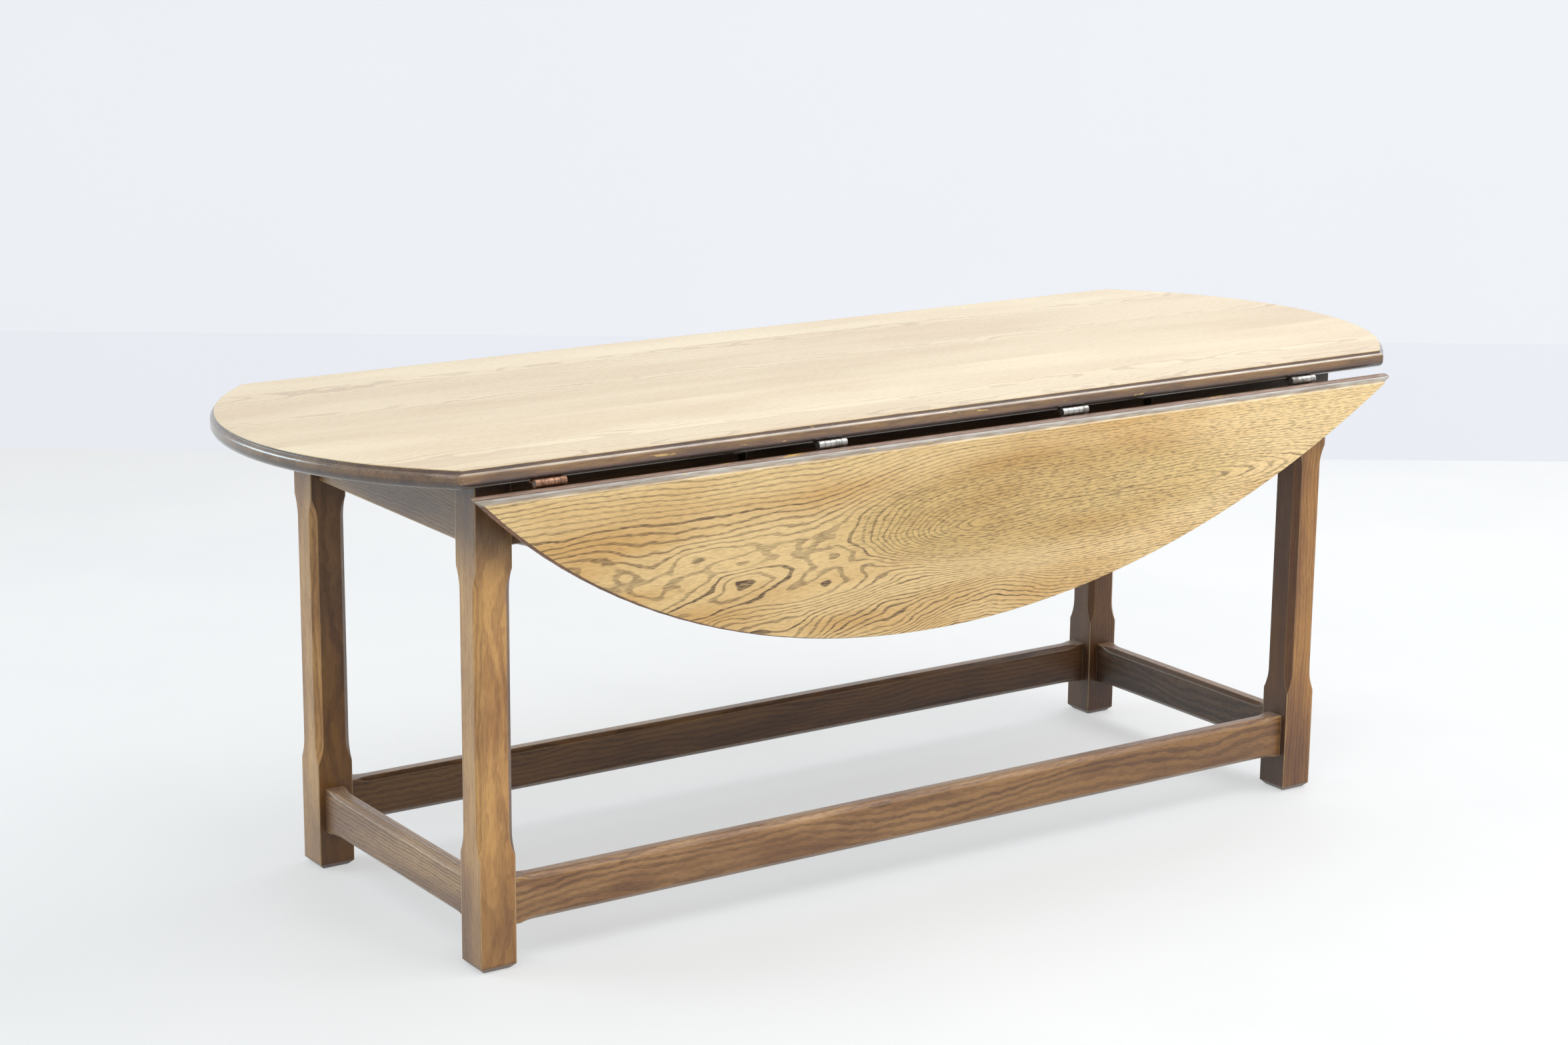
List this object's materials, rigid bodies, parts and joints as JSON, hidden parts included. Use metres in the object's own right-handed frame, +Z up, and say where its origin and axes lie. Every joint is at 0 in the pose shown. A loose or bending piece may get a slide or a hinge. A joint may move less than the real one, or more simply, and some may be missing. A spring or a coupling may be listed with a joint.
{
  "type": "drop-leaf coffee table",
  "caption": "Low oval oak table with a moulded fixed top, hinged drop leaves on folding stays, stop-chamfered square legs, aprons and a box stretcher.",
  "frame": {"origin": "on the floor, under the middle of the table top", "axes": "+X along the table to the right of the picture, +Y away from the leaf that faces the camera, +Z up"},
  "size_m": [1.3378, 0.5084, 0.5],
  "materials": {
    "top_oak": "satin lacquered oak",
    "leaf_oak": "satin lacquered oak",
    "leg_oak": "brown stained oak",
    "rail_oak": "brown stained oak",
    "block_wood": "plain softwood",
    "hinge_steel": "plated steel",
    "pin_steel": "bright steel",
    "screw_steel": "plated steel",
    "stay_steel": "zinc plated steel"
  },
  "bodies": {
    "frame": {"top_board": "top_oak", "leg_front_left": "leg_oak", "leg_front_right": "leg_oak", "leg_back_right": "leg_oak", "leg_back_left": "leg_oak", "apron_front": "rail_oak", "apron_back": "rail_oak", "apron_left": "rail_oak", "apron_right": "rail_oak", "stretcher_front": "rail_oak", "stretcher_back": "rail_oak", "stretcher_left": "rail_oak", "stretcher_right": "rail_oak", "corner_block_front_left": "block_wood", "corner_block_front_right": "block_wood", "corner_block_back_right": "block_wood", "corner_block_back_left": "block_wood", "hinge_top_plate_front_1": "hinge_steel", "hinge_top_plate_front_2": "hinge_steel", "hinge_top_plate_front_3": "hinge_steel", "hinge_top_plate_front_4": "hinge_steel", "hinge_top_plate_back_1": "hinge_steel", "hinge_top_plate_back_2": "hinge_steel", "hinge_top_plate_back_3": "hinge_steel", "hinge_top_plate_back_4": "hinge_steel", "hinge_pins_front": "pin_steel", "hinge_pins_back": "pin_steel", "stay_rivets": "pin_steel", "hinge_screws_top_front": "screw_steel", "hinge_screws_top_back": "screw_steel", "stay_screws_top": "screw_steel", "block_screws_top": "screw_steel", "block_screws_leg": "screw_steel", "stay_bracket_front_left": "stay_steel", "stay_bracket_front_right": "stay_steel", "stay_bracket_back_left": "stay_steel", "stay_bracket_back_right": "stay_steel"},
    "leaf_front": {"leaf_front": "leaf_oak", "hinge_leaf_plate_front_1": "hinge_steel", "hinge_leaf_plate_front_2": "hinge_steel", "hinge_leaf_plate_front_3": "hinge_steel", "hinge_leaf_plate_front_4": "hinge_steel", "hinge_screws_leaf_front": "screw_steel", "stay_screws_leaf_front": "screw_steel", "stay_guide_front_left": "stay_steel", "stay_guide_front_right": "stay_steel"},
    "leaf_back": {"leaf_back": "leaf_oak", "hinge_leaf_plate_back_1": "hinge_steel", "hinge_leaf_plate_back_2": "hinge_steel", "hinge_leaf_plate_back_3": "hinge_steel", "hinge_leaf_plate_back_4": "hinge_steel", "hinge_screws_leaf_back": "screw_steel", "stay_screws_leaf_back": "screw_steel", "stay_guide_back_left": "stay_steel", "stay_guide_back_right": "stay_steel"},
    "brace_front_left": {"stay_brace_front_left": "stay_steel"},
    "brace_front_right": {"stay_brace_front_right": "stay_steel"},
    "brace_back_left": {"stay_brace_back_left": "stay_steel"},
    "brace_back_right": {"stay_brace_back_right": "stay_steel"}
  },
  "joints": [
    {"name": "leaf_front_hinge", "type": "hinge", "parent": "frame", "child": "leaf_front", "pos_m": [0, -0.2373, 0.4805], "axis": [-1, 0, 0], "range_deg": [0, 107.5]},
    {"name": "leaf_back_hinge", "type": "hinge", "parent": "frame", "child": "leaf_back", "pos_m": [0, 0.2373, 0.4805], "axis": [1, 0, 0], "range_deg": [0, 107.5]},
    {"name": "stay_front_left_pivot", "type": "hinge", "parent": "frame", "child": "brace_front_left", "pos_m": [-0.25, -0.2133, 0.4355], "axis": [-1, 0, 0], "range_deg": [0, 131.08]},
    {"name": "stay_front_right_pivot", "type": "hinge", "parent": "frame", "child": "brace_front_right", "pos_m": [0.25, -0.2133, 0.4355], "axis": [-1, 0, 0], "range_deg": [0, 131.08]},
    {"name": "stay_back_left_pivot", "type": "hinge", "parent": "frame", "child": "brace_back_left", "pos_m": [-0.25, 0.2133, 0.4355], "axis": [1, 0, 0], "range_deg": [0, 131.08]},
    {"name": "stay_back_right_pivot", "type": "hinge", "parent": "frame", "child": "brace_back_right", "pos_m": [0.25, 0.2133, 0.4355], "axis": [1, 0, 0], "range_deg": [0, 131.08]}
  ],
  "couplings": [
    {"joint": "stay_front_left_pivot", "follows": "leaf_front_hinge", "ratio": 1.2193},
    {"joint": "stay_front_right_pivot", "follows": "leaf_front_hinge", "ratio": 1.2193},
    {"joint": "stay_back_left_pivot", "follows": "leaf_back_hinge", "ratio": 1.2193},
    {"joint": "stay_back_right_pivot", "follows": "leaf_back_hinge", "ratio": 1.2193}
  ]
}
